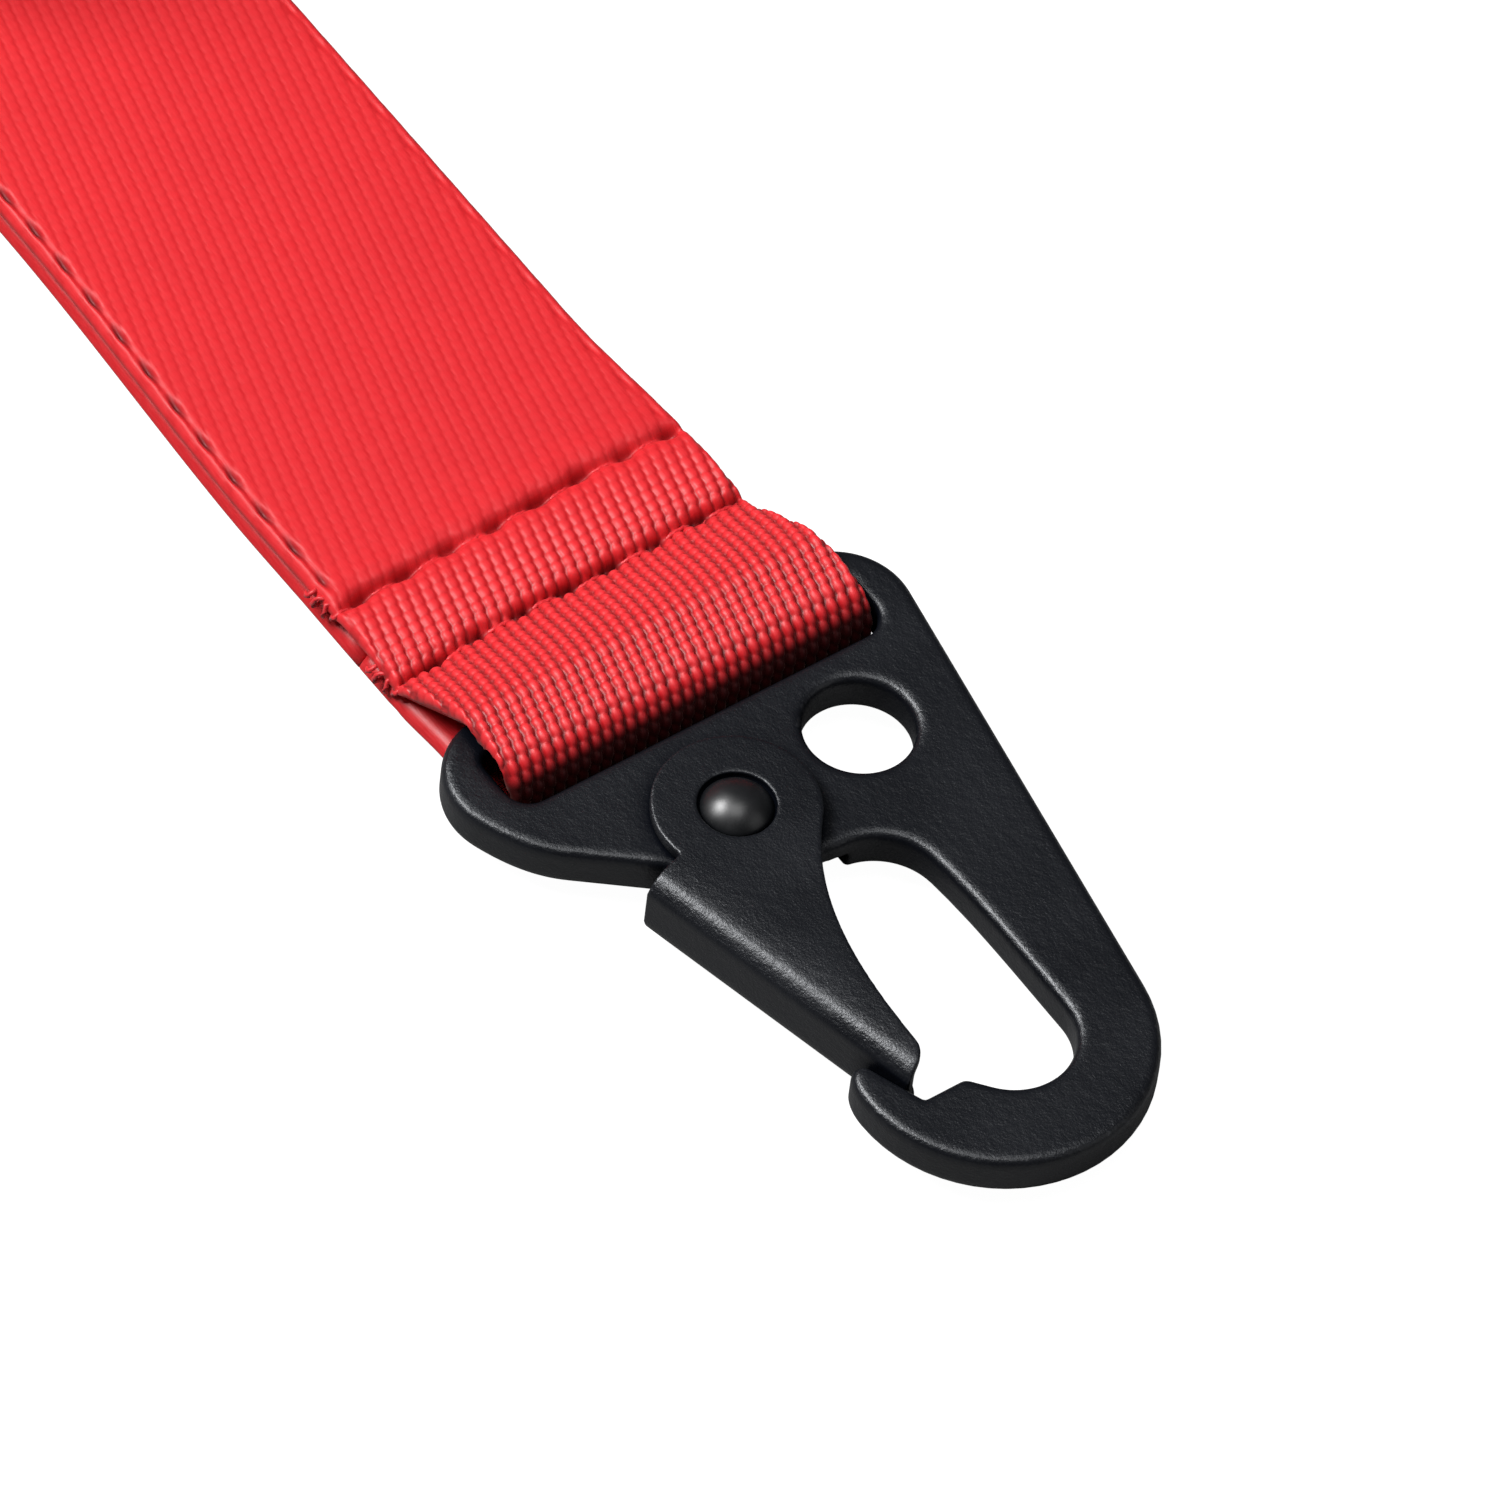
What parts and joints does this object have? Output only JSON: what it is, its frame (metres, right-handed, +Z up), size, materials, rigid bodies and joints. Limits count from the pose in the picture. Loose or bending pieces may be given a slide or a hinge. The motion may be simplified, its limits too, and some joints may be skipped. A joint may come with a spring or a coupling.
{
  "type": "lanyard",
  "caption": "Flat red webbing lanyard folded and stitched round the slot of a black stamped steel snap hook with a sprung inward gate.",
  "frame": {"origin": "middle of the footprint, on the surface that the lanyard lies on", "axes": "+X from the rolled strap towards the hook's tip, +Y towards the side of the hook with the round hole, +Z up out of the plate's face on the side of the rivet's domed head"},
  "size_m": [0.1546, 0.0322, 0.0402],
  "materials": {
    "coated_steel": "semi-matt black powder coat with a fine grain and slightly brighter edges",
    "rivet_steel": "smooth glossy black",
    "spring_steel": "drawn wire",
    "webbing": "ribbed red polyester webbing with a soft sheen",
    "sewing_thread": "twisted red polyester thread"
  },
  "bodies": {
    "strap": {"strap_webbing": "webbing", "strap_roll": "webbing", "front_seam_needle_thread": "sewing_thread", "front_seam_bobbin_thread": "sewing_thread", "rear_seam_needle_thread": "sewing_thread", "rear_seam_bobbin_thread": "sewing_thread", "right_edge_needle_thread": "sewing_thread", "right_edge_bobbin_thread": "sewing_thread", "left_edge_needle_thread": "sewing_thread", "left_edge_bobbin_thread": "sewing_thread"},
    "hook": {"hook_plate": "coated_steel", "gate_rivet": "rivet_steel", "gate_spring": "spring_steel"},
    "gate": {"gate_lever": "coated_steel"}
  },
  "joints": [
    {"name": "hook_swing", "type": "hinge", "parent": "strap", "child": "hook", "pos_m": [0.03417, -0.00008, 0.00315], "axis": [0, -1, 0], "range_deg": [-90, 90]},
    {"name": "gate_swing", "type": "hinge", "parent": "hook", "child": "gate", "pos_m": [0.04689, -0.00263, 0.00315], "axis": [0, 0, 1], "range_deg": [0, 28], "stiffness_Nm_per_rad": 0.02, "springref_deg": -11.46, "deforming": ["gate_spring"]}
  ]
}
